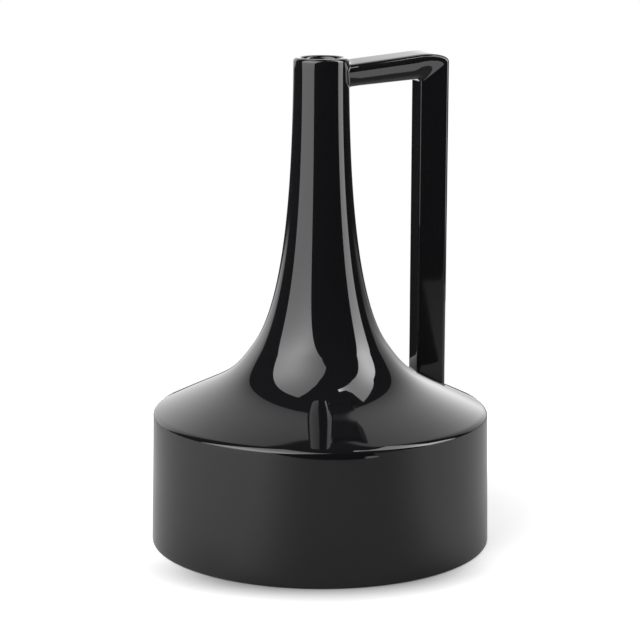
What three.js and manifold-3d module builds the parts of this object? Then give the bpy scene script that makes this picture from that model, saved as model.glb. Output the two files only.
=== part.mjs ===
// Ceramic pitcher vase: a wide low drum closed by a shoulder that flares up into a tall narrow neck,
// with an angular handle of two square clay bars, mitred together and luted to the neck and shoulder.
// Millimetres, +Z up. The vase stands on z = 0 with its axis on Z, and the handle lies towards +X.

import * as THREE from 'three';
import { mergeVertices } from 'three/addons/utils/BufferGeometryUtils.js';
import Module from 'manifold-3d';

const { degToRad } = THREE.MathUtils;

// Drum
const FOOT_RADIUS = 105;
const WALL_LEAN = 1.4; // the wall leans in by this much from the foot to the shoulder edge
const DRUM_HEIGHT = 77.4; // from the table to the seam under the shoulder edge
const WALL = 5; // thickness of the cast wall, the same from the drum to the lip
const FLOOR = 6;
const FOOT_ROUND = 1.8; // outer edge of the foot
const FOOT_RING = 8; // width of the flat ring that the vase stands on
const FOOT_RECESS = 2.5; // depth of the underside inside the ring
const RECESS_ROUND = 2; // where the recess turns down into the ring
const FLOOR_ROUND = 9; // inside, where the wall meets the floor

// Shoulder and neck
const EDGE_ROUND = 6.3; // shoulder edge, outside
const SHOULDER_SLOPE = degToRad(29.5); // at the shoulder edge, from level
const FLARE_RADIUS = 40.8; // the point where the shoulder has turned up into the neck
const FLARE_RISE = 46.5; // height of that point above the seam
const FLARE_SLOPE = degToRad(58.5);
const NECK_RADIUS = 16.9; // outside, under the lip
const LIP_HEIGHT = 300;
// How far each curve holds its end direction, as a share of the straight distance that it spans.
const HOLD_AT_EDGE = 0.305;
const HOLD_BELOW_FLARE = 0.42;
const HOLD_ABOVE_FLARE = 0.157;
const HOLD_BELOW_LIP = 0.62;

// Handle
const HANDLE_INSET = 24.6; // from the shoulder edge in to the handle's outer face
const HANDLE_WIDTH = 20.2; // across the outer faces of both bars, before their arrises are rounded
const FACE_DRAFT = 1.8; // a bar's front and back each come in by this much towards its inner face
const UPRIGHT_DEPTH = 18.6;
const CROSSBAR_DEPTH = 15.5;
const CROSSBAR_DROP = 2.1; // from the lip down to the crossbar's top, at the neck
const CROSSBAR_RISE = degToRad(5.1); // the crossbar climbs outwards
const CORNER_ROUND = 5.5; // outer corner, seen from the side
const CROOK_ROUND = 2; // inner corner, seen from the side
const ARRIS_ROUND = 3; // long edges of both bars
const SEAT_GAP = 0.3; // film of slip between luted faces

// Facets
const TURN_STEPS = 72; // a multiple of 4, so that the box is the same on every side
const EDGE_STEPS = 5;
const SHOULDER_STEPS = 9;
const NECK_STEPS = 11;
const LIP_STEPS = 8;
const ROUND_STEPS = 3;
const ARRIS_STEPS = 4;

const edgeRadius = FOOT_RADIUS - WALL_LEAN;
const crossbarTop = LIP_HEIGHT - CROSSBAR_DROP;
const handleReach = edgeRadius - HANDLE_INSET;

const glaze = () => new THREE.MeshStandardMaterial({ color: 0x141416, roughness: 0.1, metalness: 0 });

// A profile of (radius, height) points turned about the Z axis.
function turned(profile) {
  return new THREE.LatheGeometry(profile, TURN_STEPS).rotateX(Math.PI / 2);
}

// Unit vector that climbs inwards at a slope measured from level.
function climb(slope) {
  return new THREE.Vector2(-Math.cos(slope), Math.sin(slope));
}

// The outside of the shoulder and neck as three smooth stretches, from the seam up to the lip.
function bodyCurves() {
  const edge = new THREE.EllipseCurve(
    edgeRadius - EDGE_ROUND, DRUM_HEIGHT, EDGE_ROUND, EDGE_ROUND, 0, Math.PI / 2 - SHOULDER_SLOPE);
  const edgeEnd = edge.getPoint(1);
  const flare = new THREE.Vector2(FLARE_RADIUS, DRUM_HEIGHT + FLARE_RISE);
  const neckEnd = new THREE.Vector2(NECK_RADIUS, LIP_HEIGHT - WALL / 2);
  const shoulderSpan = edgeEnd.distanceTo(flare);
  const neckSpan = flare.distanceTo(neckEnd);
  const shoulder = new THREE.CubicBezierCurve(
    edgeEnd,
    edgeEnd.clone().addScaledVector(climb(SHOULDER_SLOPE), HOLD_AT_EDGE * shoulderSpan),
    flare.clone().addScaledVector(climb(FLARE_SLOPE), -HOLD_BELOW_FLARE * shoulderSpan),
    flare);
  const neck = new THREE.CubicBezierCurve(
    flare,
    flare.clone().addScaledVector(climb(FLARE_SLOPE), HOLD_ABOVE_FLARE * neckSpan),
    neckEnd.clone().addScaledVector(climb(Math.PI / 2), -HOLD_BELOW_LIP * neckSpan),
    neckEnd);
  return [[edge, EDGE_STEPS], [shoulder, SHOULDER_STEPS], [neck, NECK_STEPS]];
}

// Points on the body's outside, moved out square to it by a distance, or in where that is negative.
function bodyOffset(distance) {
  const points = [];
  bodyCurves().forEach(([curve, steps], stretch) => {
    for (let i = stretch === 0 ? 0 : 1; i <= steps; i++) {
      const along = curve.getTangent(i / steps);
      const outwards = new THREE.Vector2(along.y, -along.x);
      points.push(curve.getPoint(i / steps).addScaledVector(outwards, distance));
    }
  });
  return points;
}

// Drum: floor and wall in one, with a recessed underside that leaves a flat foot ring.
function drumGeometry() {
  const innerFoot = FOOT_RADIUS - WALL;
  const ringInner = FOOT_RADIUS - FOOT_ROUND - FOOT_RING;
  const recessTurn = Math.min(RECESS_ROUND, FOOT_RECESS);
  const floorTop = FOOT_RECESS + FLOOR;
  const profile = new THREE.Path();
  profile.moveTo(0, FOOT_RECESS);
  profile.lineTo(ringInner - recessTurn, FOOT_RECESS);
  profile.absarc(ringInner - recessTurn, FOOT_RECESS - recessTurn, recessTurn, Math.PI / 2, 0, true);
  profile.lineTo(ringInner, 0);
  profile.lineTo(FOOT_RADIUS - FOOT_ROUND, 0);
  profile.absarc(FOOT_RADIUS - FOOT_ROUND, FOOT_ROUND, FOOT_ROUND, -Math.PI / 2, 0, false);
  profile.lineTo(edgeRadius, DRUM_HEIGHT);
  profile.lineTo(edgeRadius - WALL, DRUM_HEIGHT);
  profile.lineTo(innerFoot, floorTop + FLOOR_ROUND);
  profile.absarc(innerFoot - FLOOR_ROUND, floorTop + FLOOR_ROUND, FLOOR_ROUND, 0, -Math.PI / 2, true);
  profile.lineTo(0, floorTop);
  return turned(profile.getPoints(ROUND_STEPS));
}

// Shoulder and neck: an even wall whose top is rolled into a full-round lip.
// Its lower face is the flat ring that sits on the drum's rim.
function shoulderGeometry() {
  const seat = new THREE.Vector2(edgeRadius - WALL, DRUM_HEIGHT);
  const lip = new THREE.EllipseCurve(
    NECK_RADIUS - WALL / 2, LIP_HEIGHT - WALL / 2, WALL / 2, WALL / 2, 0, Math.PI);
  const inside = bodyOffset(-WALL).filter((p) => p.y > seat.y + SEAT_GAP && p.x < seat.x);
  const profile = [
    ...bodyOffset(0),
    ...lip.getPoints(LIP_STEPS).slice(1, -1),
    ...inside.reverse(),
    seat,
    new THREE.Vector2(edgeRadius, DRUM_HEIGHT),
  ];
  return turned(profile);
}

// What the handle's ends are hollowed to fit: the body's outside with the film of slip on it,
// solid to the axis and carried straight up past the lip.
function seatGeometry() {
  const top = LIP_HEIGHT + CROSSBAR_DEPTH;
  const outside = bodyOffset(SEAT_GAP);
  const last = outside[outside.length - 1];
  return turned([
    new THREE.Vector2(0, DRUM_HEIGHT),
    ...outside,
    new THREE.Vector2(last.x, top),
    new THREE.Vector2(0, top),
  ]);
}

// Height of the crossbar's top face at a distance from the axis.
function topAt(x) {
  return crossbarTop + (x - NECK_RADIUS) * Math.tan(CROSSBAR_RISE);
}

const crossbarHeight = CROSSBAR_DEPTH / Math.cos(CROSSBAR_RISE); // measured upright
const crook = new THREE.Vector2(
  handleReach - UPRIGHT_DEPTH, topAt(handleReach - UPRIGHT_DEPTH) - crossbarHeight);
const corner = new THREE.Vector2(handleReach, topAt(handleReach));

// A round of a given radius between two straight runs of an outline, met at a corner point.
function roundCorner(outline, before, point, after, radius) {
  const back = before.clone().sub(point).normalize();
  const ahead = after.clone().sub(point).normalize();
  const half = Math.acos(back.dot(ahead)) / 2;
  const centre = back.clone().add(ahead).setLength(radius / Math.sin(half)).add(point);
  const start = back.multiplyScalar(radius / Math.tan(half)).add(point);
  const end = ahead.multiplyScalar(radius / Math.tan(half)).add(point);
  const from = start.clone().sub(centre).angle();
  const to = end.clone().sub(centre).angle();
  const clockwise = start.clone().sub(point).cross(end.clone().sub(point)) > 0;
  outline.lineTo(start.x, start.y);
  outline.absarc(centre.x, centre.y, radius, from, to, clockwise);
}

// Both bars as one bent length with rounded arrises, still running on into the neck and shoulder.
function handleGeometry() {
  const neckEnd = new THREE.Vector2(0, topAt(0));
  const footEnd = new THREE.Vector2(handleReach, DRUM_HEIGHT + SEAT_GAP);
  const footInner = new THREE.Vector2(crook.x, footEnd.y);
  const neckLower = new THREE.Vector2(0, topAt(0) - crossbarHeight);
  const outline = new THREE.Shape();
  outline.moveTo(neckLower.x, neckLower.y);
  roundCorner(outline, neckLower, crook, footInner, CROOK_ROUND);
  outline.lineTo(footInner.x, footInner.y);
  outline.lineTo(footEnd.x, footEnd.y);
  roundCorner(outline, footEnd, corner, neckEnd, CORNER_ROUND);
  outline.lineTo(neckEnd.x, neckEnd.y);
  outline.closePath();
  const bars = new THREE.ExtrudeGeometry(outline, {
    depth: HANDLE_WIDTH - 2 * ARRIS_ROUND,
    curveSegments: ROUND_STEPS + 1,
    bevelEnabled: true,
    bevelThickness: ARRIS_ROUND,
    bevelSize: ARRIS_ROUND,
    bevelOffset: -ARRIS_ROUND,
    bevelSegments: ARRIS_STEPS,
  });
  return bars.rotateX(Math.PI / 2).translate(0, HANDLE_WIDTH / 2 - ARRIS_ROUND, 0);
}

// All the space on the crossbar's side of the mitre, or on the upright's side with side = -1.
// Half of the film of slip is left off each face.
function mitreSide(side) {
  const alongMitre = corner.clone().sub(crook).normalize();
  const away = new THREE.Vector2(-alongMitre.y, alongMitre.x).multiplyScalar(side);
  const reach = LIP_HEIGHT + FOOT_RADIUS;
  const middle = crook.clone().addScaledVector(away, SEAT_GAP / 2);
  const low = middle.clone().addScaledVector(alongMitre, -reach);
  const high = middle.clone().addScaledVector(alongMitre, reach);
  const region = new THREE.Shape([
    low, high, high.clone().addScaledVector(away, reach), low.clone().addScaledVector(away, reach)]);
  const block = new THREE.ExtrudeGeometry(region, { depth: 2 * HANDLE_WIDTH, bevelEnabled: false });
  return block.rotateX(Math.PI / 2).translate(0, HANDLE_WIDTH, 0);
}

const wasm = await Module();
wasm.setup();

function toSolid(geometry) {
  const bare = geometry.clone();
  bare.deleteAttribute('normal');
  bare.deleteAttribute('uv');
  const merged = mergeVertices(bare, 1e-4);
  return new wasm.Manifold(new wasm.Mesh({
    numProp: 3,
    vertProperties: new Float32Array(merged.attributes.position.array),
    triVerts: new Uint32Array(merged.index.array),
  }));
}

function toGeometry(solid) {
  const mesh = solid.getMesh();
  const geometry = new THREE.BufferGeometry();
  geometry.setAttribute('position', new THREE.BufferAttribute(mesh.vertProperties, 3));
  geometry.setIndex(new THREE.BufferAttribute(mesh.triVerts, 1));
  geometry.computeVertexNormals();
  return geometry;
}

// A bar whose front and back lean in with the distance from its outer face, as a cast bar's do.
function drafted(bar, depth, distanceIn) {
  const geometry = toGeometry(bar);
  const place = geometry.attributes.position;
  for (let i = 0; i < place.count; i++) {
    const inset = FACE_DRAFT * distanceIn(place.getX(i), place.getZ(i)) / depth;
    place.setY(i, place.getY(i) - Math.sign(place.getY(i)) * inset);
  }
  return toSolid(geometry);
}

const group = new THREE.Group();
group.name = 'pitcher_vase';

function addPiece(name, geometry) {
  const mesh = new THREE.Mesh(geometry, glaze());
  mesh.name = name;
  group.add(mesh);
}

addPiece('base_drum', drumGeometry());
addPiece('shoulder_neck', shoulderGeometry());

const bars = toSolid(handleGeometry());
const bodySeat = toSolid(seatGeometry());
const crossbar = drafted(
  bars.intersect(toSolid(mitreSide(1))), CROSSBAR_DEPTH, (x, z) => (topAt(x) - z) * Math.cos(CROSSBAR_RISE));
const upright = drafted(bars.intersect(toSolid(mitreSide(-1))), UPRIGHT_DEPTH, (x) => handleReach - x);
addPiece('handle_crossbar', toGeometry(crossbar.subtract(bodySeat)));
addPiece('handle_upright', toGeometry(upright.subtract(bodySeat)));

export default group;
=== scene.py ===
import math

import bmesh
import bpy
from mathutils import Matrix, Vector
from mathutils.bvhtree import BVHTree
from mathutils.geometry import interpolate_bezier


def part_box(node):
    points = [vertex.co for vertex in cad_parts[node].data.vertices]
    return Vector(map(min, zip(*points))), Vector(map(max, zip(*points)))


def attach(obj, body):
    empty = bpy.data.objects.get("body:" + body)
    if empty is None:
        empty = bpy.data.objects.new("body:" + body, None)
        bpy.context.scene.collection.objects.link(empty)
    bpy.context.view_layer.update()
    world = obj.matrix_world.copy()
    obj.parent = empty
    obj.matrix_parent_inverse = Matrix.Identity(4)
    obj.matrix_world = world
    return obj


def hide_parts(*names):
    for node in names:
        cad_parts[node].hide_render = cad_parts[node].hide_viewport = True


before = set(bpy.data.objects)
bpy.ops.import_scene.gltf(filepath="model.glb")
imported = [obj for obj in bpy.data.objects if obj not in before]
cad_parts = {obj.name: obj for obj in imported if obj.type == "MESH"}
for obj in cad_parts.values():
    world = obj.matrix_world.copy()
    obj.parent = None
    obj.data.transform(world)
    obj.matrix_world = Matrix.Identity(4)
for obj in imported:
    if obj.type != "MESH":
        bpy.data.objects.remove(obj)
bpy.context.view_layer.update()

# The camera stands a little to the left of the vase's front and looks slightly down on it. Its
# distance and height make the drum's foot and the mouth's rim ovals as narrow as the photograph's.
VIEW_TURN = math.radians(17)
CAMERA_DISTANCE = 1.3364
CAMERA_HEIGHT = 0.4179
CAMERA_PITCH = math.radians(11.808)
CAMERA_ROLL = math.radians(0.152)
CAMERA_LENS = 124.64
FILM_WIDTH = 36
FILM_SHIFT = -0.0009

up = Vector((0, 0, 1))
to_camera = Vector((-math.sin(VIEW_TURN), -math.cos(VIEW_TURN), 0))
to_right = Vector((math.cos(VIEW_TURN), -math.sin(VIEW_TURN), 0))
sight = -to_camera * math.cos(CAMERA_PITCH) - up * math.sin(CAMERA_PITCH)
level_top = to_right.cross(sight)
film_right = to_right * math.cos(CAMERA_ROLL) + level_top * math.sin(CAMERA_ROLL)
film_top = level_top * math.cos(CAMERA_ROLL) - to_right * math.sin(CAMERA_ROLL)

camera = bpy.data.objects.new("camera", bpy.data.cameras.new("camera"))
camera.data.lens = CAMERA_LENS
camera.data.sensor_width = FILM_WIDTH
camera.data.shift_x = FILM_SHIFT
camera.matrix_world = Matrix.Translation(to_camera * CAMERA_DISTANCE + up * CAMERA_HEIGHT) @ Matrix(
    (film_right, film_top, -sight)).transposed().to_4x4()
bpy.context.collection.objects.link(camera)
bpy.context.scene.camera = camera
bpy.context.scene.view_settings.view_transform = "Standard"

# The vase stands on a pale grey table board, whose oblique front edge the glaze mirrors. Its grey
# is darker in front, as painted shade of the dark room there. The camera sees the board as white as
# the backdrop, but for the vase's shadow and a painted contact shadow in front of its foot. The
# board's corners are given as steps to the right and towards the camera.
TABLE_OUTLINE = ((-0.9, 0.70), (0.264, 0.373), (0.428, 0.755), (0.9, 0.755), (0.9, -0.36), (-0.9, -0.36))
TABLE_ROUGHNESS = 0.9
TABLE_GREY_IN_PAINTED_FRONT_SHADE = 0.27
TABLE_GREY_BESIDE = 0.54
SHADE_TURN = math.radians(15)
SHADE_EDGES = (0.97, 0.60)
TABLE_WHITE = 0.8
TABLE_LIFT = 0.32
CONTACT_SHADOW = (0.080, 0.147)
CONTACT_SIDES = (0.9, 0.3)
SHADOW_REACH = (0.13, 0.24)


def add_mesh_object(name, bm):
    """Put a finished bmesh into the scene as an object at the origin."""
    mesh = bpy.data.meshes.new(name)
    bm.to_mesh(mesh)
    bm.free()
    thing = bpy.data.objects.new(name, mesh)
    bpy.context.collection.objects.link(thing)
    return thing


def new_material(name):
    """A material with nodes: its tree, its shader and its output."""
    material = bpy.data.materials.new(name)
    material.use_nodes = True
    tree = material.node_tree
    return material, tree, tree.nodes["Principled BSDF"], tree.nodes["Material Output"]


def math_node(tree, operation, first, second=None):
    """A Math node on sockets or plain numbers; gives its output socket."""
    node = tree.nodes.new("ShaderNodeMath")
    node.operation = operation
    for socket, value in zip(node.inputs, (first, second)):
        if isinstance(value, (int, float)):
            socket.default_value = value
        elif value is not None:
            tree.links.new(value, socket)
    return node.outputs[0]


def along_node(tree, direction, axis):
    """How far a direction or place runs along an axis; gives its output socket."""
    node = tree.nodes.new("ShaderNodeVectorMath")
    node.operation = "DOT_PRODUCT"
    tree.links.new(direction, node.inputs[0])
    node.inputs[1].default_value = axis
    return node.outputs["Value"]


def fade_node(tree, value, zero_at, one_at):
    """A soft step from 0 to 1 between two values; gives its output socket."""
    node = tree.nodes.new("ShaderNodeMapRange")
    node.interpolation_type = "SMOOTHSTEP"
    tree.links.new(value, node.inputs["Value"])
    node.inputs["From Min"].default_value = zero_at
    node.inputs["From Max"].default_value = one_at
    return node.outputs["Result"]


bm = bmesh.new()
bm.faces.new([bm.verts.new(to_right * across + to_camera * near) for across, near in TABLE_OUTLINE])
table = add_mesh_object("table", bm)
table_paint, tree, shader, output = new_material("table_paint")
camera_ray = tree.nodes.new("ShaderNodeLightPath").outputs["Is Camera Ray"]
place = tree.nodes.new("ShaderNodeTexCoord").outputs["Object"]
from_vase = tree.nodes.new("ShaderNodeVectorMath")
from_vase.operation = "LENGTH"
tree.links.new(place, from_vase.inputs[0])
distance = from_vase.outputs["Value"]
# The board's grey is darker in front than beside the vase: painted shade of the dark room in front.
shade_middle = to_camera * math.cos(SHADE_TURN) + to_right * math.sin(SHADE_TURN)
in_front = math_node(tree, "DIVIDE", along_node(tree, place, shade_middle), distance)
painted_front_shade = tree.nodes.new("ShaderNodeMapRange")
tree.links.new(fade_node(tree, in_front, *SHADE_EDGES), painted_front_shade.inputs["Value"])
painted_front_shade.inputs["To Min"].default_value = TABLE_GREY_IN_PAINTED_FRONT_SHADE
painted_front_shade.inputs["To Max"].default_value = TABLE_GREY_BESIDE
grey = tree.nodes.new("ShaderNodeMapRange")
tree.links.new(camera_ray, grey.inputs["Value"])
tree.links.new(painted_front_shade.outputs["Result"], grey.inputs["To Min"])
grey.inputs["To Max"].default_value = TABLE_WHITE
in_view = math_node(tree, "DIVIDE", along_node(tree, place, to_camera), distance)
# A painted contact shadow: close in front of the foot the board's colour and its own light are darkened.
painted_contact_shadow = math_node(tree, "SUBTRACT", 1, fade_node(tree, distance, *CONTACT_SHADOW))
at_front = math_node(tree, "SUBTRACT", 1, fade_node(tree, in_view, *CONTACT_SIDES))
painted_contact_shadow = math_node(tree, "MULTIPLY", painted_contact_shadow, at_front)
painted_contact_shadow = math_node(tree, "SUBTRACT", 1, math_node(tree, "MULTIPLY", painted_contact_shadow, camera_ray))
tree.links.new(math_node(tree, "MULTIPLY", grey.outputs["Result"], painted_contact_shadow), shader.inputs["Base Color"])
shader.inputs["Roughness"].default_value = TABLE_ROUGHNESS
shader.inputs["Specular IOR Level"].default_value = 0
# Only the camera sees this light of the board's own, which makes the shadow as pale as photographed.
open_floor = fade_node(tree, distance, *SHADOW_REACH)
lift = tree.nodes.new("ShaderNodeEmission")
lift_level = math_node(tree, "MULTIPLY", math_node(tree, "MAXIMUM", open_floor, TABLE_LIFT), painted_contact_shadow)
tree.links.new(math_node(tree, "MULTIPLY", lift_level, camera_ray), lift.inputs["Strength"])
lifted = tree.nodes.new("ShaderNodeAddShader")
tree.links.new(shader.outputs[0], lifted.inputs[0])
tree.links.new(lift.outputs[0], lifted.inputs[1])
tree.links.new(lifted.outputs[0], output.inputs["Surface"])
table.data.materials.append(table_paint)

# Behind the vase hangs a white backdrop with a straight top edge, brightest low in its middle, and
# the room in front is dark. Past the table's edge the lit floor shows. Places on the backdrop are
# given as if it hung 1 m away: across, then up. The camera itself sees plain white all round.
BACKDROP_TOP = 2.25
BACKDROP_SAG = 0.85
BACKDROP_FOOT = (-0.125, -0.09)
BACKDROP_SIDES = (1.55, 1.35)
BACKDROP_LEVEL = 0.04
BACKDROP_POOLS = (((0.2, 0.42), (0.16, 0.5), 1.7), ((0, 0.3), (1.1, 0.65), 0.85),
                  ((-1.0, 0.25), (0.5, 0.5), 0.7), ((0, 1.5), (0.6, 0.7), 0.65))
BACKDROP_STARTS = 0.02
RIGHT_SHADE = 0.6
RIGHT_SHADE_ACROSS = (-0.1, 0.3)
RIGHT_SHADE_BELOW = (0.15, -0.05)
ROOM_DARK = 0.035
ROOM_FLOOR = 1.55
ROOM_FLOOR_BELOW = math.sin(math.radians(-11.3))
ROOM_FLOOR_RIGHT_OF = math.radians(30.5)
ROOM_FLOOR_BLUR = 0.03


def pool_of_light(tree, across, rise, middle, spread, level):
    """What one lamp throws on a diffuser or a backdrop: brightest at its middle, then falling off."""
    x = math_node(tree, "DIVIDE", math_node(tree, "SUBTRACT", across, middle[0]), spread[0])
    y = math_node(tree, "DIVIDE", math_node(tree, "SUBTRACT", rise, middle[1]), spread[1])
    far = math_node(tree, "ADD", math_node(tree, "MULTIPLY", x, x), math_node(tree, "MULTIPLY", y, y))
    return math_node(tree, "DIVIDE", level, math_node(tree, "ADD", far, 1))


world = bpy.data.worlds.new("studio")
bpy.context.scene.world = world
world.use_nodes = True
tree = world.node_tree
tree.nodes.clear()
look = tree.nodes.new("ShaderNodeTexCoord").outputs["Generated"]
behind = along_node(tree, look, -to_camera)
ahead = math_node(tree, "MAXIMUM", behind, BACKDROP_STARTS / 2)
across = math_node(tree, "DIVIDE", along_node(tree, look, to_right), ahead)
rise = math_node(tree, "DIVIDE", along_node(tree, look, up), ahead)
backdrop = BACKDROP_LEVEL
for middle, spread, level in BACKDROP_POOLS:
    backdrop = math_node(tree, "ADD", pool_of_light(tree, across, rise, middle, spread, level), backdrop)
shade = math_node(tree, "MULTIPLY", fade_node(tree, across, *RIGHT_SHADE_ACROSS),
                  fade_node(tree, rise, *RIGHT_SHADE_BELOW))
shade = math_node(tree, "SUBTRACT", 1, math_node(tree, "MULTIPLY", shade, RIGHT_SHADE))
backdrop = math_node(tree, "MULTIPLY", backdrop, shade)
backdrop = math_node(tree, "MULTIPLY", backdrop, math_node(tree, "GREATER_THAN", behind, BACKDROP_STARTS))
sagging = math_node(tree, "MULTIPLY", math_node(tree, "MULTIPLY", across, across), BACKDROP_SAG)
backdrop = math_node(tree, "MULTIPLY", backdrop, math_node(
    tree, "LESS_THAN", math_node(tree, "ADD", rise, sagging), BACKDROP_TOP))
backdrop = math_node(tree, "MULTIPLY", backdrop, fade_node(tree, rise, *BACKDROP_FOOT))
backdrop = math_node(tree, "MULTIPLY", backdrop, fade_node(
    tree, math_node(tree, "ABSOLUTE", across), *BACKDROP_SIDES))
floor_seen = math_node(tree, "LESS_THAN", along_node(tree, look, up), ROOM_FLOOR_BELOW)
floor_side = to_right * math.cos(ROOM_FLOOR_RIGHT_OF) - to_camera * math.sin(ROOM_FLOOR_RIGHT_OF)
floor_seen = math_node(tree, "MULTIPLY", floor_seen, fade_node(
    tree, along_node(tree, look, floor_side), -ROOM_FLOOR_BLUR, ROOM_FLOOR_BLUR))
studio = math_node(tree, "MAXIMUM", math_node(tree, "MULTIPLY", floor_seen, ROOM_FLOOR), backdrop)
studio = math_node(tree, "MAXIMUM", studio, ROOM_DARK)
camera_ray = tree.nodes.new("ShaderNodeLightPath").outputs["Is Camera Ray"]
background = tree.nodes.new("ShaderNodeBackground")
background.inputs["Color"].default_value = (1, 1, 1, 1)
studio = math_node(tree, "MULTIPLY", studio, math_node(tree, "SUBTRACT", 1, camera_ray))
tree.links.new(math_node(tree, "MAXIMUM", camera_ray, studio), background.inputs["Strength"])
tree.links.new(background.outputs[0], tree.nodes.new("ShaderNodeOutputWorld").inputs["Surface"])

# Two softboxes light the vase: a wide one on the left, which leans over it, and a narrow one square
# to the right. Each diffuser is brightest in front of its lamps and dims evenly from there. Their
# uneven outlines are those of the reflections that the glaze shows of them.
LAMP_AIM = Vector((0, 0, 0.15))
SOFTBOX_AWAY = 0.9


def hang_softbox(name, azimuth, lean, turn, outline, pools, edge_level):
    """Hang a diffuser facing the vase. Azimuth runs to the right from the camera, lean is how high it
    hangs and turn how far it is turned in its own plane. Its outline and its pools of light are
    measured on the diffuser from the point nearest the vase, to the right and up."""
    facing = to_camera * math.cos(azimuth) + to_right * math.sin(azimuth)
    out = facing * math.cos(lean) + up * math.sin(lean)
    along = to_right * math.cos(azimuth) - to_camera * math.sin(azimuth)
    upward = along.cross(out)
    if upward.z < 0:
        upward.negate()
    rightward = along * math.cos(turn) + upward * math.sin(turn)
    upward = upward * math.cos(turn) - along * math.sin(turn)
    bm = bmesh.new()
    bm.faces.new([bm.verts.new((a, b, 0)) for a, b in outline])
    softbox = add_mesh_object(name, bm)
    softbox.matrix_world = Matrix.Translation(LAMP_AIM + out * SOFTBOX_AWAY) @ Matrix(
        (rightward, upward, rightward.cross(upward))).transposed().to_4x4()
    softbox.visible_camera = False
    material, tree, shader, output = new_material(name + "_diffuser")
    tree.nodes.remove(shader)
    place = tree.nodes.new("ShaderNodeTexCoord").outputs["Object"]
    across, rise = along_node(tree, place, (1, 0, 0)), along_node(tree, place, (0, 1, 0))
    glowing = edge_level
    for middle, spread, level in pools:
        glowing = math_node(tree, "ADD", pool_of_light(tree, across, rise, middle, spread, level), glowing)
    glow = tree.nodes.new("ShaderNodeEmission")
    tree.links.new(glowing, glow.inputs["Strength"])
    tree.links.new(glow.outputs[0], output.inputs["Surface"])
    softbox.data.materials.append(material)


hang_softbox(
    "left_softbox", azimuth=math.radians(-61.3), lean=math.radians(31.1), turn=math.radians(-3.4),
    outline=((-0.38, -0.71), (0.70, -0.71), (0.68, 0.75), (0.78, 1.07),
             (0.40, 0.98), (0.06, 1.03), (-0.46, 1.20), (-0.37, 0.40)),
    pools=(((0.146, 0.190), (0.7, 0.33), 3.6),), edge_level=1.4)
hang_softbox(
    "right_softbox", azimuth=math.radians(95.4), lean=math.radians(11.8), turn=math.radians(-8.0),
    outline=((-0.35, -0.34), (0.05, -0.34), (0.08, 0.25), (0.00, 0.60), (0.17, 1.03), (0.43, 1.51),
             (-0.07, 1.48), (-0.30, 1.60), (-0.32, 2.00), (-0.50, 2.00), (-0.46, 1.00), (-0.33, 0.50)),
    pools=(((-0.12, 0.420), (0.4, 0.33), 5.6), ((-0.42, 1.95), (0.2, 0.25), 6)), edge_level=1.4)

# The drum is one slip casting: floor and upright wall in one, open at the top, where the shoulder is
# luted on. It is glazed black inside and out, and only the ring that it was fired on is bare clay.
drum_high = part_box("base_drum")[1]
TURNING_SLACK = 0.00001
FOOT_RADIUS = drum_high[0] - TURNING_SLACK
DRUM_HEIGHT = drum_high[2]
WALL_LEAN = 0.0014
SEAM_RADIUS = FOOT_RADIUS - WALL_LEAN
WALL = 0.005
DRUM_FLOOR = 0.006
FOOT_ROUND = 0.0012
FOOT_RING = 0.008
FOOT_RECESS = 0.0025
RECESS_ROUND = 0.002
FLOOR_ROUND = 0.009
FLAT_MIDDLE = 0.05
FLAT_RIM = 0.01
RING_BEVEL = 0.0005
CLAY_HEIGHT = FOOT_ROUND / 4
TURN_STEPS = 256
WALL_RINGS = 24
RECESS_STEPS = 6
FOOT_STEPS = 8
FLOOR_STEPS = 10
ROUND_HOLD = 0.5523
MERGE_WITHIN = 1e-6
GLAZE_BLACK = (0.0052, 0.0050, 0.0060, 1)
GLAZE_IOR = 1.6
GLAZE_GLOSS = 0.035
GLAZE_RIPPLE = (30, 0.03)
CLAY_BUFF = (0.42, 0.36, 0.29, 1)
CLAY_ROUGHNESS = 0.85
CLAY_SAND = (900, 0.4)
GRAIN_HEIGHT = 0.001
GRAIN_DETAIL = 2


def round_off(start, corner, end, steps, hold=ROUND_HOLD):
    """Points of the round that runs from start to end inside a corner; hold is how near to the corner
    it keeps, and its usual value gives a quarter circle."""
    start, corner, end = (Vector((x, 0, z)) for x, z in (start, corner, end))
    return interpolate_bezier(
        start, start.lerp(corner, hold), end.lerp(corner, hold), end, steps)


def turn_solid(profile, closed):
    """Turn a profile of (radius, height) points once round the axis, as on a wheel."""
    bm = bmesh.new()
    ring = [bm.verts.new((point[0], 0, point[-1])) for point in profile]
    pairs = list(zip(ring, ring[1:])) + ([(ring[-1], ring[0])] if closed else [])
    edges = [bm.edges.new(pair) for pair in pairs]
    bmesh.ops.spin(bm, geom=ring + edges, cent=(0, 0, 0), axis=(0, 0, 1), dvec=(0, 0, 0),
                   angle=math.tau, steps=TURN_STEPS, use_merge=True, use_duplicate=False)
    bmesh.ops.remove_doubles(bm, verts=bm.verts, dist=MERGE_WITHIN)
    bmesh.ops.recalc_face_normals(bm, faces=bm.faces)
    for face in bm.faces:
        face.smooth = True
    return bm


def crease_flats(bm, height):
    """Keep the flat luting face at this height from softening the wall's shading."""
    for edge in bm.edges:
        if all(abs(vert.co.z - height) < 10 * MERGE_WITHIN for vert in edge.verts):
            edge.smooth = False


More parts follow.
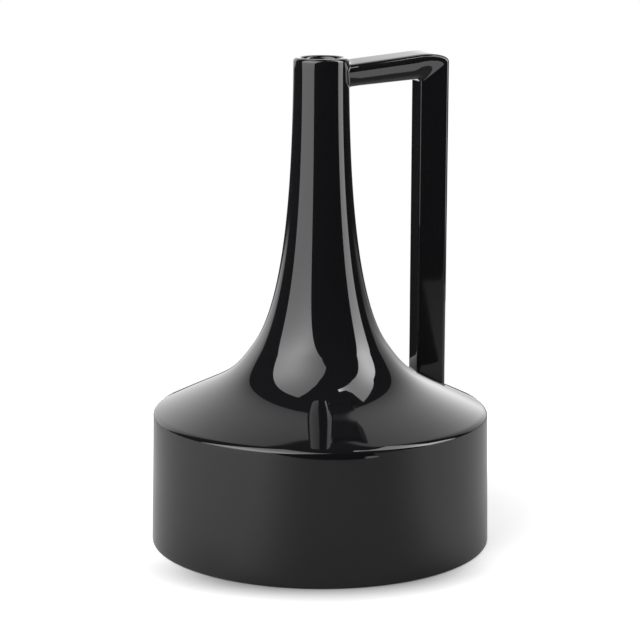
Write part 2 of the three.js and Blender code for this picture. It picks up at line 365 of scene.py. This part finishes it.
recess_radius = FOOT_RADIUS - FOOT_ROUND - FOOT_RING
floor_top = FOOT_RECESS + DRUM_FLOOR
inner_seam = SEAM_RADIUS - WALL
inner_foot = FOOT_RADIUS - WALL
drum_profile = [(0, FOOT_RECESS), (FLAT_MIDDLE, FOOT_RECESS),
                (recess_radius - RECESS_ROUND - FLAT_RIM, FOOT_RECESS)]
drum_profile += round_off((recess_radius - RECESS_ROUND, FOOT_RECESS), (recess_radius, FOOT_RECESS),
                          (recess_radius, FOOT_RECESS - RECESS_ROUND), RECESS_STEPS)
drum_profile += [(recess_radius + RING_BEVEL, 0), (FOOT_RADIUS - FOOT_ROUND - RING_BEVEL, 0)]
drum_profile += round_off((FOOT_RADIUS - FOOT_ROUND, 0), (FOOT_RADIUS, 0),
                          (FOOT_RADIUS, FOOT_ROUND), FOOT_STEPS)
for ring in range(1, WALL_RINGS + 1):
    share = ring / WALL_RINGS
    drum_profile.append((FOOT_RADIUS + (SEAM_RADIUS - FOOT_RADIUS) * share,
                         FOOT_ROUND + (DRUM_HEIGHT - FOOT_ROUND) * share))
drum_profile += [(inner_seam, DRUM_HEIGHT), (inner_foot, floor_top + FLOOR_ROUND + FLAT_RIM)]
drum_profile += round_off((inner_foot, floor_top + FLOOR_ROUND), (inner_foot, floor_top),
                          (inner_foot - FLOOR_ROUND, floor_top), FLOOR_STEPS)
drum_profile += [(FLAT_MIDDLE, floor_top), (0, floor_top)]
bm = turn_solid(drum_profile, closed=False)
crease_flats(bm, DRUM_HEIGHT)
for face in bm.faces:
    if face.calc_center_median().z < CLAY_HEIGHT:
        face.material_index = 1
drum = add_mesh_object("drum", bm)

grain = bpy.data.node_groups.new("cast_grain", "ShaderNodeTree")
for name, kind, way in (("Size", "NodeSocketFloat", "INPUT"), ("Depth", "NodeSocketFloat", "INPUT"),
                        ("Normal", "NodeSocketVector", "OUTPUT")):
    grain.interface.new_socket(name=name, in_out=way, socket_type=kind)
enter = grain.nodes.new("NodeGroupInput")
leave = grain.nodes.new("NodeGroupOutput")
where = grain.nodes.new("ShaderNodeTexCoord").outputs["Object"]
waves = grain.nodes.new("ShaderNodeTexNoise")
waves.inputs["Detail"].default_value = GRAIN_DETAIL
bump = grain.nodes.new("ShaderNodeBump")
bump.inputs["Distance"].default_value = GRAIN_HEIGHT
grain.links.new(where, waves.inputs["Vector"])
grain.links.new(enter.outputs["Size"], waves.inputs["Scale"])
grain.links.new(waves.outputs[0], bump.inputs["Height"])
grain.links.new(enter.outputs["Depth"], bump.inputs["Strength"])
grain.links.new(bump.outputs[0], leave.inputs["Normal"])

glaze, tree, shader, output = new_material("black_glaze")
ripple = tree.nodes.new("ShaderNodeGroup")
ripple.node_tree = grain
ripple.inputs["Size"].default_value, ripple.inputs["Depth"].default_value = GLAZE_RIPPLE
shader.inputs["Base Color"].default_value = GLAZE_BLACK
shader.inputs["Roughness"].default_value = GLAZE_GLOSS
shader.inputs["IOR"].default_value = GLAZE_IOR
tree.links.new(ripple.outputs["Normal"], shader.inputs["Normal"])

clay, tree, shader, output = new_material("bare_clay")
sand = tree.nodes.new("ShaderNodeGroup")
sand.node_tree = grain
sand.inputs["Size"].default_value, sand.inputs["Depth"].default_value = CLAY_SAND
shader.inputs["Base Color"].default_value = CLAY_BUFF
shader.inputs["Roughness"].default_value = CLAY_ROUGHNESS
tree.links.new(sand.outputs["Normal"], shader.inputs["Normal"])

drum.data.materials.append(glaze)
drum.data.materials.append(clay)
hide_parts("base_drum")
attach(drum, "root")

# Shoulder and neck are the second casting. From the drum's soft edge it sinks in a long hollow sweep,
# then rises to a narrow neck, which ends in a rolled lip as thick as the wall.
LIP_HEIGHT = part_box("shoulder_neck")[1][2]
NECK_RADIUS = 0.0170
EDGE_ABOVE_SEAM = 0.0045
EDGE_ROUND = (0.0012, 0.0034)
SHOULDER_SLOPE = math.radians(26.1)
FLARE_RADIUS = 0.0410
FLARE_RISE = 0.0465
FLARE_SLOPE = math.radians(55.8)
HOLD_AT_EDGE = 0.631
HOLD_BELOW_FLARE = 0.379
HOLD_ABOVE_FLARE = 0.072
HOLD_BELOW_LIP = 0.745
EDGE_STEPS = 24
SHOULDER_STEPS = 60
NECK_STEPS = 90
LIP_STEPS = 10


def climb(slope):
    """Unit step inward and up at this slope."""
    return Vector((-math.cos(slope), 0, math.sin(slope)))


def body_curve(wall):
    """The body's outline from the seam to the top of the neck, moved in by the wall's thickness. The
    holds say how far each stretch keeps the slope that it has at its ends. The inside has no copy of
    the edge's small round, which is tighter than the wall is thick."""
    lean = WALL_LEAN / DRUM_HEIGHT
    edge = Vector((SEAM_RADIUS - lean * EDGE_ABOVE_SEAM, 0, DRUM_HEIGHT + EDGE_ABOVE_SEAM))
    edge_start = edge + Vector((lean, 0, -1)) * EDGE_ROUND[0]
    edge_end = edge + climb(SHOULDER_SLOPE) * EDGE_ROUND[1]
    points = [Vector((SEAM_RADIUS, 0, DRUM_HEIGHT))]
    points += round_off(edge_start.xz, edge.xz, edge_end.xz, EDGE_STEPS + 1)
    flare = Vector((FLARE_RADIUS, 0, DRUM_HEIGHT + FLARE_RISE))
    neck_end = Vector((NECK_RADIUS, 0, LIP_HEIGHT - WALL / 2))
    shoulder_span = (flare - edge_end).length
    neck_span = (neck_end - flare).length
    points += interpolate_bezier(
        edge_end, edge_end + climb(SHOULDER_SLOPE) * HOLD_AT_EDGE * shoulder_span,
        flare - climb(FLARE_SLOPE) * HOLD_BELOW_FLARE * shoulder_span, flare, SHOULDER_STEPS)[1:]
    points += interpolate_bezier(
        flare, flare + climb(FLARE_SLOPE) * HOLD_ABOVE_FLARE * neck_span,
        neck_end - up * HOLD_BELOW_LIP * neck_span, neck_end, NECK_STEPS)[1:]
    if wall == 0:
        return points
    inside = [Vector((SEAM_RADIUS - wall, 0, DRUM_HEIGHT))]
    for before, point, after in zip(points[EDGE_STEPS:], points[EDGE_STEPS + 1:], points[EDGE_STEPS + 2:]):
        run = (after - before).normalized()
        moved = point + wall * Vector((-run.z, 0, run.x))
        if moved.x < inside[0].x and moved.z > DRUM_HEIGHT:
            inside.append(moved)
    return inside + [Vector((NECK_RADIUS - wall, 0, LIP_HEIGHT - WALL / 2))]


outside = body_curve(0)
inside = body_curve(WALL)
lip_middle = NECK_RADIUS - WALL / 2
lip = []
for step in range(1, 2 * LIP_STEPS):
    angle = math.pi * step / (2 * LIP_STEPS)
    lip.append(Vector((lip_middle + WALL / 2 * math.cos(angle), 0,
                       LIP_HEIGHT - WALL / 2 + WALL / 2 * math.sin(angle))))
bm = turn_solid(outside + lip + inside[::-1], closed=True)
crease_flats(bm, DRUM_HEIGHT)
body_surface = BVHTree.FromBMesh(bm)
shoulder_neck = add_mesh_object("shoulder_and_neck", bm)
shoulder_neck.data.materials.append(glaze)
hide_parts("shoulder_neck")
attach(shoulder_neck, "root")

# The handle is two square bars pressed in one mould, mitred at the corner: the crossbar, which
# leaves the neck just under the lip, and the upright, which comes down on the shoulder. Both are
# drafted, and the crossbar's top leans a little towards the near side.
HANDLE_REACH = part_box("handle_upright")[1][0]
HANDLE_WIDTH = 0.0202
UPRIGHT_DEPTH = 0.0184
CROSSBAR_DEPTH = 0.0143
CROSSBAR_DROP = 0.0033
CROSSBAR_RISE = math.radians(6.34)
UNDERSIDE_RISE = math.radians(4.7)
CORNER_ROUND = (0.0205, 0.0070)
CROOK_ROUND = (0.0022, 0.0022)
ARRIS_ROUND = 0.003
INNER_ARRIS_ROUND = 0.0013
CROSSBAR_TOP_ROUND = (0.0044, 0.0038)
TOP_ROUND_HOLD = 0.4
LEAN_AT_NECK = math.tan(math.radians(9))
LEAN_AT_CORNER = math.tan(math.radians(6))
FACE_DRAFT = 0.0018
CROWN_AT_TOP = math.tan(math.radians(2.4))
CROWN_AT_NECK = math.tan(math.radians(7.2))
CROWN_AT_CORNER = math.tan(math.radians(8.5))
SLIP_ROUND = 0.0011
SLIP_STEPS = 6
SEATED = 0.0004
SLIP_CAST_FROM = 0.008
CROSSBAR_STRAIGHT_FROM = 0.004
UPRIGHT_STRAIGHT_BELOW = 0.004
UPRIGHT_STRAIGHT_TO = 0.110
FLAT_STEPS = 3
ARRIS_STEPS = 12
FACE_STEPS = 12
CORNER_STEPS = 14
STRAIGHT_STEPS = 12


def flat_draft(share, depth):
    """How far a plainly drafted face has come in at this share of the bar's depth."""
    return FACE_DRAFT * share


def crowned_draft(share, depth, crown):
    """The same for a face that was also rubbed round, until it leans in by the crown at its inner edge."""
    deep = share * depth
    return CROWN_AT_TOP * deep + (crown - CROWN_AT_TOP) * deep * share / 2


def half_section(depth, top_round, hold, inner_round, draft, *crown):
    """One side of a bar's section, from the middle of its outer face to the middle of its inner one,
    as (share of the depth, half width) points. The outer arris is cut back by top_round, so far
    across the outer face and so far down the side; hold says how full it is left between."""
    half = HANDLE_WIDTH / 2
    across, down = top_round
    points = [(0, (half - across) * side / FLAT_STEPS) for side in range(FLAT_STEPS)]
    for point in round_off((0, half - across), (0, half), (down, half), ARRIS_STEPS + 1, hold):
        points.append((point.x / depth, point.z))
    for step in range(1, FACE_STEPS):
        points.append(((down + (depth - down - inner_round) * step / FACE_STEPS) / depth, half))
    inner_arris = round_off((depth - inner_round, half), (depth, half),
                            (depth, half - inner_round), ARRIS_STEPS + 1)
    points += [(point.x / depth, point.z) for point in inner_arris]
    points += [(1, (half - inner_round) * side / FLAT_STEPS) for side in reversed(range(FLAT_STEPS))]
    return [(share, max(wide - draft(share, depth, *crown) * min(wide / (half - inner_round), 1), 0))
            for share, wide in points]


def whole_section(lean, depth, *shape):
    """The bar's section all round; its outer face may lean a little to one side."""
    side = half_section(depth, *shape)
    ring = side + [(share, -wide) for share, wide in side[-2:0:-1]]
    return [(share - lean * wide / depth * (1 - share), wide) for share, wide in ring]


def between(first, second, share):
    """The section part way from one to another."""
    return [(a[0] + (b[0] - a[0]) * share, a[1] + (b[1] - a[1]) * share) for a, b in zip(first, second)]


neck_section = whole_section(LEAN_AT_NECK, CROSSBAR_DEPTH, CROSSBAR_TOP_ROUND, TOP_ROUND_HOLD,
                             ARRIS_ROUND, crowned_draft, CROWN_AT_NECK)
corner_section = whole_section(LEAN_AT_CORNER, CROSSBAR_DEPTH, CROSSBAR_TOP_ROUND, ROUND_HOLD,
                               ARRIS_ROUND, crowned_draft, CROWN_AT_CORNER)
upright_section = whole_section(0, UPRIGHT_DEPTH, (ARRIS_ROUND, ARRIS_ROUND), ROUND_HOLD,
                                INNER_ARRIS_ROUND, flat_draft)
along_crossbar = Vector((math.cos(CROSSBAR_RISE), 0, math.sin(CROSSBAR_RISE)))
along_underside = Vector((math.cos(UNDERSIDE_RISE), 0, math.sin(UNDERSIDE_RISE)))
across_crossbar = Vector((math.sin(CROSSBAR_RISE), 0, -math.cos(CROSSBAR_RISE)))
top_at_neck = Vector((NECK_RADIUS, 0, LIP_HEIGHT - CROSSBAR_DROP))
reach_along = (HANDLE_REACH - NECK_RADIUS) / math.cos(CROSSBAR_RISE)
outer_corner = top_at_neck + along_crossbar * reach_along
crook_x = HANDLE_REACH - UPRIGHT_DEPTH
underside_at_neck = top_at_neck + across_crossbar * CROSSBAR_DEPTH
inner_corner = underside_at_neck + along_underside * ((crook_x - underside_at_neck.x) / along_underside.x)


def corner_arc(corner, reach):
    """Points round the handle's bend, from the crossbar's side to the upright's; reach is how far the
    round runs along each of them."""
    start = corner - along_crossbar * reach[0]
    end = corner - up * reach[1]
    return round_off(start.xz, corner.xz, end.xz, CORNER_STEPS + 1)


def ring_points(outer, inner, section):
    """A section laid between a point on the outer face and one on the inner face."""
    return [outer.lerp(inner, share) + Vector((0, wide, 0)) for share, wide in section]


def slip_rings(section, outer, inner, towards):
    """Rings that end a bar on the body: each point runs on to the body's surface, and the last few
    spread into the small round of slip that seals the joint."""
    middle = outer.lerp(inner, 0.5)
    depth = (inner - outer).length
    rings = []
    for step in range(SLIP_STEPS + 1):
        angle = math.pi / 2 * step / SLIP_STEPS
        spread = SLIP_ROUND * (1 - math.cos(angle))
        clear = SLIP_ROUND * (1 - math.sin(angle)) - (SEATED if step == SLIP_STEPS else 0)
        ring = []
        for share, wide in section:
            flat = outer.lerp(inner, share) + Vector((0, wide, 0))
            flat = middle + (flat - middle) * (1 + 2 * spread / depth)
            hit = body_surface.ray_cast(flat, towards)[0]
            ring.append(hit - towards * clear)
        rings.append(ring)
    return rings


outer_arc = corner_arc(outer_corner, CORNER_ROUND)
inner_arc = corner_arc(inner_corner, CROOK_ROUND)
cast_start = along_crossbar * SLIP_CAST_FROM
crossbar_rings = slip_rings(neck_section, top_at_neck + cast_start, underside_at_neck + cast_start,
                            -along_crossbar)[::-1]
straight_start = along_crossbar * CROSSBAR_STRAIGHT_FROM
for step in range(STRAIGHT_STEPS):
    share = step / STRAIGHT_STEPS
    crossbar_rings.append(ring_points((top_at_neck + straight_start).lerp(outer_arc[0], share),
                                      (underside_at_neck + straight_start).lerp(inner_arc[0], share),
                                      between(neck_section, corner_section, share)))

bend_rings = [ring_points(outer_arc[step], inner_arc[step],
                          between(corner_section, upright_section, step / CORNER_STEPS))
              for step in range(CORNER_STEPS + 1)]
half_bend = CORNER_STEPS // 2
crossbar_rings += bend_rings[:half_bend + 1]

upright_rings = bend_rings[half_bend:]
straight_top = inner_arc[-1].z - UPRIGHT_STRAIGHT_BELOW
for step in range(STRAIGHT_STEPS + 1):
    z = straight_top + (UPRIGHT_STRAIGHT_TO - straight_top) * step / STRAIGHT_STEPS
    upright_rings.append(ring_points(Vector((HANDLE_REACH, 0, z)), Vector((crook_x, 0, z)), upright_section))
upright_rings += slip_rings(upright_section, Vector((HANDLE_REACH, 0, UPRIGHT_STRAIGHT_TO)),
                            Vector((crook_x, 0, UPRIGHT_STRAIGHT_TO)), -up)


def press_bar(name, rings):
    """Draw a bar out ring by ring, and close its two ends."""
    bm = bmesh.new()
    ring = [bm.verts.new(point) for point in rings[0]]
    edges = [bm.edges.new(pair) for pair in zip(ring, ring[1:] + ring[:1])]
    bmesh.ops.contextual_create(bm, geom=edges)
    for points in rings[1:]:
        drawn = bmesh.ops.extrude_edge_only(bm, edges=edges)["geom"]
        edges = [item for item in drawn if isinstance(item, bmesh.types.BMEdge)]
        ring = [item for item in drawn if isinstance(item, bmesh.types.BMVert)]
        for vert, point in zip(ring, points):
            vert.co = point
    bmesh.ops.contextual_create(bm, geom=edges)
    bmesh.ops.recalc_face_normals(bm, faces=bm.faces)
    for face in bm.faces:
        face.smooth = len(face.verts) == 4
        if not face.smooth:
            for edge in face.edges:
                edge.smooth = False
    bar = add_mesh_object(name, bm)
    bar.data.materials.append(glaze)
    return bar


crossbar = press_bar("handle_crossbar_bar", crossbar_rings)
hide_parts("handle_crossbar")
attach(crossbar, "root")
upright = press_bar("handle_upright_bar", upright_rings)
# In the photograph the glaze mirrors the crossbar but no upright, so it is left out of mirror images.
upright.visible_glossy = False
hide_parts("handle_upright")
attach(upright, "root")
